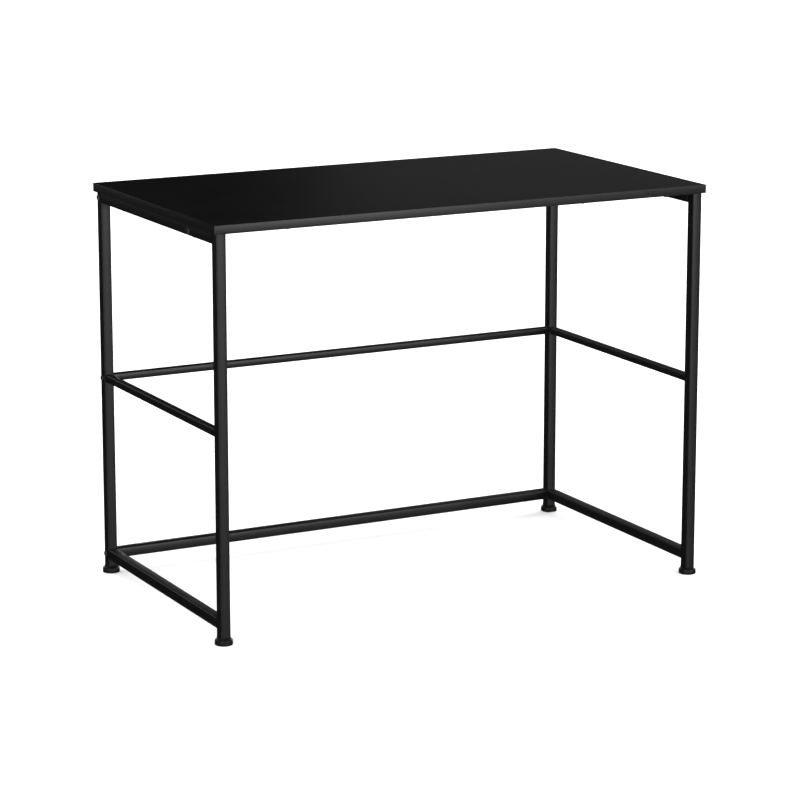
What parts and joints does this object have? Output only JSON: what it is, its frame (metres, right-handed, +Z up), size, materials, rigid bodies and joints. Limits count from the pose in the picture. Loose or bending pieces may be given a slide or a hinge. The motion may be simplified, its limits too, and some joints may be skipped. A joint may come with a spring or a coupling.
{
  "type": "writing desk",
  "caption": "Rectangular laminated desktop on an open frame of square steel tube with side frames, rear rails and levelling feet.",
  "frame": {"origin": "on the floor, below the middle of the desktop", "axes": "+X to the sitter's right along the desk's length, -Y towards the sitter, +Z up"},
  "size_m": [1.0025, 0.5524, 0.75],
  "materials": {
    "frame_powder_coat": "satin black powder coat",
    "desktop_laminate": "particle board with black melamine faces, fine pearl texture",
    "edge_band_plastic": "black ABS edge band, fine satin texture",
    "zinc_plated_steel": "bright zinc plate",
    "black_fasteners": "black zinc plate, slightly glossy",
    "insert_plastic": "moulded black polypropylene",
    "foot_plastic": "moulded black polypropylene, satin"
  },
  "bodies": {
    "frame": {"left_front_leg": "frame_powder_coat", "left_rear_leg": "frame_powder_coat", "left_top_rail": "frame_powder_coat", "left_middle_rail": "frame_powder_coat", "left_bottom_rail": "frame_powder_coat", "right_front_leg": "frame_powder_coat", "right_rear_leg": "frame_powder_coat", "right_top_rail": "frame_powder_coat", "right_middle_rail": "frame_powder_coat", "right_bottom_rail": "frame_powder_coat", "front_cross_rail": "frame_powder_coat", "rear_top_rail": "frame_powder_coat", "rear_middle_rail": "frame_powder_coat", "rear_bottom_rail": "frame_powder_coat", "desktop_board": "desktop_laminate", "front_edge_band": "edge_band_plastic", "rear_edge_band": "edge_band_plastic", "left_edge_band": "edge_band_plastic", "right_edge_band": "edge_band_plastic", "cross_rail_threaded_plates": "zinc_plated_steel", "middle_rail_threaded_plates": "zinc_plated_steel", "left_frame_bolts": "black_fasteners", "right_frame_bolts": "black_fasteners", "side_rail_screws": "black_fasteners", "cross_rail_screws": "black_fasteners", "left_front_leg_insert": "insert_plastic", "right_front_leg_insert": "insert_plastic", "left_rear_leg_insert": "insert_plastic", "right_rear_leg_insert": "insert_plastic"},
    "left_front_foot": {"left_front_foot_base": "foot_plastic"},
    "left_front_stud": {"left_front_foot_stud": "zinc_plated_steel"},
    "right_front_foot": {"right_front_foot_base": "foot_plastic"},
    "right_front_stud": {"right_front_foot_stud": "zinc_plated_steel"},
    "left_rear_foot": {"left_rear_foot_base": "foot_plastic"},
    "left_rear_stud": {"left_rear_foot_stud": "zinc_plated_steel"},
    "right_rear_foot": {"right_rear_foot_base": "foot_plastic"},
    "right_rear_stud": {"right_rear_foot_stud": "zinc_plated_steel"}
  },
  "joints": [
    {"name": "left_front_foot_travel", "type": "slide", "parent": "frame", "child": "left_front_foot", "axis": [0, 0, -1], "range_m": [0, 0.01]},
    {"name": "left_front_stud_turn", "type": "hinge", "parent": "left_front_foot", "child": "left_front_stud", "pos_m": [-0.485, -0.26, 0.0062], "axis": [0, 0, -1], "range_deg": [0, 2880]},
    {"name": "right_front_foot_travel", "type": "slide", "parent": "frame", "child": "right_front_foot", "axis": [0, 0, -1], "range_m": [0, 0.01]},
    {"name": "right_front_stud_turn", "type": "hinge", "parent": "right_front_foot", "child": "right_front_stud", "pos_m": [0.485, -0.26, 0.0062], "axis": [0, 0, -1], "range_deg": [0, 2880]},
    {"name": "left_rear_foot_travel", "type": "slide", "parent": "frame", "child": "left_rear_foot", "axis": [0, 0, -1], "range_m": [0, 0.01]},
    {"name": "left_rear_stud_turn", "type": "hinge", "parent": "left_rear_foot", "child": "left_rear_stud", "pos_m": [-0.485, 0.26, 0.0062], "axis": [0, 0, -1], "range_deg": [0, 2880]},
    {"name": "right_rear_foot_travel", "type": "slide", "parent": "frame", "child": "right_rear_foot", "axis": [0, 0, -1], "range_m": [0, 0.01]},
    {"name": "right_rear_stud_turn", "type": "hinge", "parent": "right_rear_foot", "child": "right_rear_stud", "pos_m": [0.485, 0.26, 0.0062], "axis": [0, 0, -1], "range_deg": [0, 2880]}
  ],
  "couplings": [
    {"joint": "left_front_stud_turn", "follows": "left_front_foot_travel", "rad_per_m": 5026.5},
    {"joint": "right_front_stud_turn", "follows": "right_front_foot_travel", "rad_per_m": 5026.5},
    {"joint": "left_rear_stud_turn", "follows": "left_rear_foot_travel", "rad_per_m": 5026.5},
    {"joint": "right_rear_stud_turn", "follows": "right_rear_foot_travel", "rad_per_m": 5026.5}
  ]
}
